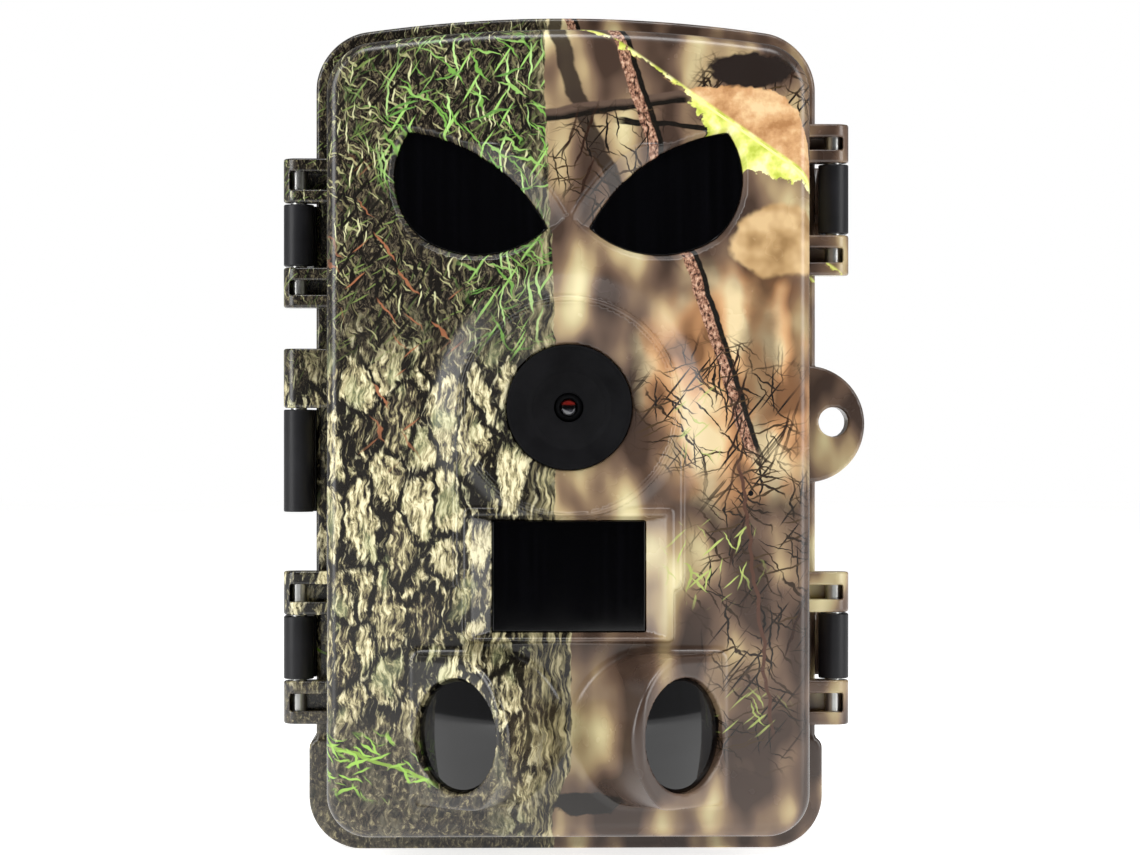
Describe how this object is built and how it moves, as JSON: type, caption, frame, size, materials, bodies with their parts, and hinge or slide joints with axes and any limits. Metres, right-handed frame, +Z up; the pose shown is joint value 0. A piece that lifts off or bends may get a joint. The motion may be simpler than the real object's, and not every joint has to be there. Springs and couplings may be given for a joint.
{
  "type": "trail camera",
  "caption": "Clamshell trail camera with camouflage case, almond infrared windows, lens dome, angled motion sensors, latches, hinge leaves and padlock eyelet.",
  "frame": {"origin": "mouth of the tripod thread, in the plane of the flat foot", "axes": "+Z up, the lens looks along -Y, +X is the latch side as seen from the front"},
  "size_m": [0.1042, 0.0815, 0.15],
  "materials": {
    "camo_shell": "satin water-transfer print of bark, leaves and twigs on ABS",
    "black_plastic": "fine moulded black nylon, satin",
    "matt_black": "matt black, fine texture",
    "grey_plastic": "dark grey ABS, fine spark texture",
    "key_plastic": "mid grey silicone keys",
    "card_plastic": "dark blue moulded card",
    "cell_wrap": "printed film sleeve, plain bands",
    "seal_rubber": "matt silicone rubber",
    "dark_window": "polished infrared-pass acrylic, near black",
    "display_glass": "polished dark display cover",
    "lens_glass": "coated optical glass",
    "led_epoxy": "clear epoxy emitters",
    "steel": "zinc plated or stainless steel",
    "display_metal": "stamped tinned sheet",
    "brass_insert": "turned brass",
    "circuit_board": "green solder mask over glass laminate"
  },
  "bodies": {
    "rear_case": {"rear_shell": "camo_shell", "gasket": "seal_rubber", "battery_tray": "black_plastic", "cells": "cell_wrap", "contact_springs": "steel", "contact_plates": "steel", "tray_screws": "steel", "tripod_block": "black_plastic", "tripod_insert": "brass_insert", "strap_loops": "black_plastic", "tree_grips": "black_plastic", "power_socket": "black_plastic", "hinge_leaf_upper": "black_plastic", "hinge_leaf_middle": "black_plastic", "hinge_leaf_lower": "black_plastic", "leaf_screws": "steel"},
    "front_case": {"front_cover": "camo_shell", "inner_frame": "grey_plastic", "frame_screws": "steel", "main_board": "circuit_board", "display_module": "display_metal", "display_window": "display_glass", "lens_bezel": "matt_black", "lens_barrel": "matt_black", "lens_element": "lens_glass", "sensor_board": "circuit_board", "ir_window_left": "dark_window", "ir_window_right": "dark_window", "ir_board_left": "circuit_board", "ir_board_right": "circuit_board", "ir_leds_left": "led_epoxy", "ir_leds_right": "led_epoxy", "pir_window": "dark_window", "side_pir_window_left": "dark_window", "side_pir_window_right": "dark_window", "pir_sensors": "steel", "microphone": "steel", "speaker": "matt_black", "card_socket": "display_metal", "usb_socket": "display_metal", "hinge_pin_upper": "steel", "hinge_pin_middle": "steel", "hinge_pin_lower": "steel", "latch_pin_upper": "steel", "latch_pin_lower": "steel"},
    "port_cover": {"port_cover": "seal_rubber"},
    "latch_upper": {"latch_upper": "black_plastic"},
    "latch_lower": {"latch_lower": "black_plastic"},
    "memory_card": {"memory_card": "card_plastic"},
    "mode_switch": {"mode_switch": "key_plastic"},
    "ir_cut_filter": {"ir_cut_filter": "lens_glass"},
    "key_menu": {"key_menu": "key_plastic"},
    "key_ok": {"key_ok": "key_plastic"},
    "key_up": {"key_up": "key_plastic"},
    "key_down": {"key_down": "key_plastic"},
    "key_left": {"key_left": "key_plastic"},
    "key_right": {"key_right": "key_plastic"}
  },
  "joints": [
    {"name": "cover_hinge", "type": "hinge", "parent": "rear_case", "child": "front_case", "pos_m": [-0.048, -0.018, 0.075], "axis": [0, 0, -1], "range_deg": [0, 165]},
    {"name": "latch_upper_hinge", "type": "hinge", "parent": "front_case", "child": "latch_upper", "pos_m": [0.048, -0.018, 0.117], "axis": [0, 0, -1], "range_deg": [0, 115]},
    {"name": "latch_lower_hinge", "type": "hinge", "parent": "front_case", "child": "latch_lower", "pos_m": [0.048, -0.018, 0.0368], "axis": [0, 0, -1], "range_deg": [0, 115]},
    {"name": "port_cover_hinge", "type": "hinge", "parent": "rear_case", "child": "port_cover", "pos_m": [0.026, -0.0024, 0.0011], "axis": [-1, 0, 0], "range_deg": [0, 110]},
    {"name": "card_slide", "type": "slide", "parent": "front_case", "child": "memory_card", "axis": [1, 0, 0], "range_m": [0, 0.022]},
    {"name": "switch_slide", "type": "slide", "parent": "front_case", "child": "mode_switch", "axis": [0, 0, 1], "range_m": [0, 0.008]},
    {"name": "filter_slide", "type": "slide", "parent": "front_case", "child": "ir_cut_filter", "axis": [-1, 0, 0], "range_m": [0, 0.0038]},
    {"name": "key_menu_press", "type": "slide", "parent": "front_case", "child": "key_menu", "axis": [0, -1, 0], "range_m": [0, 0.0008], "stiffness_N_per_m": 900},
    {"name": "key_ok_press", "type": "slide", "parent": "front_case", "child": "key_ok", "axis": [0, -1, 0], "range_m": [0, 0.0008], "stiffness_N_per_m": 900},
    {"name": "key_up_press", "type": "slide", "parent": "front_case", "child": "key_up", "axis": [0, -1, 0], "range_m": [0, 0.0008], "stiffness_N_per_m": 900},
    {"name": "key_down_press", "type": "slide", "parent": "front_case", "child": "key_down", "axis": [0, -1, 0], "range_m": [0, 0.0008], "stiffness_N_per_m": 900},
    {"name": "key_left_press", "type": "slide", "parent": "front_case", "child": "key_left", "axis": [0, -1, 0], "range_m": [0, 0.0008], "stiffness_N_per_m": 900},
    {"name": "key_right_press", "type": "slide", "parent": "front_case", "child": "key_right", "axis": [0, -1, 0], "range_m": [0, 0.0008], "stiffness_N_per_m": 900}
  ]
}
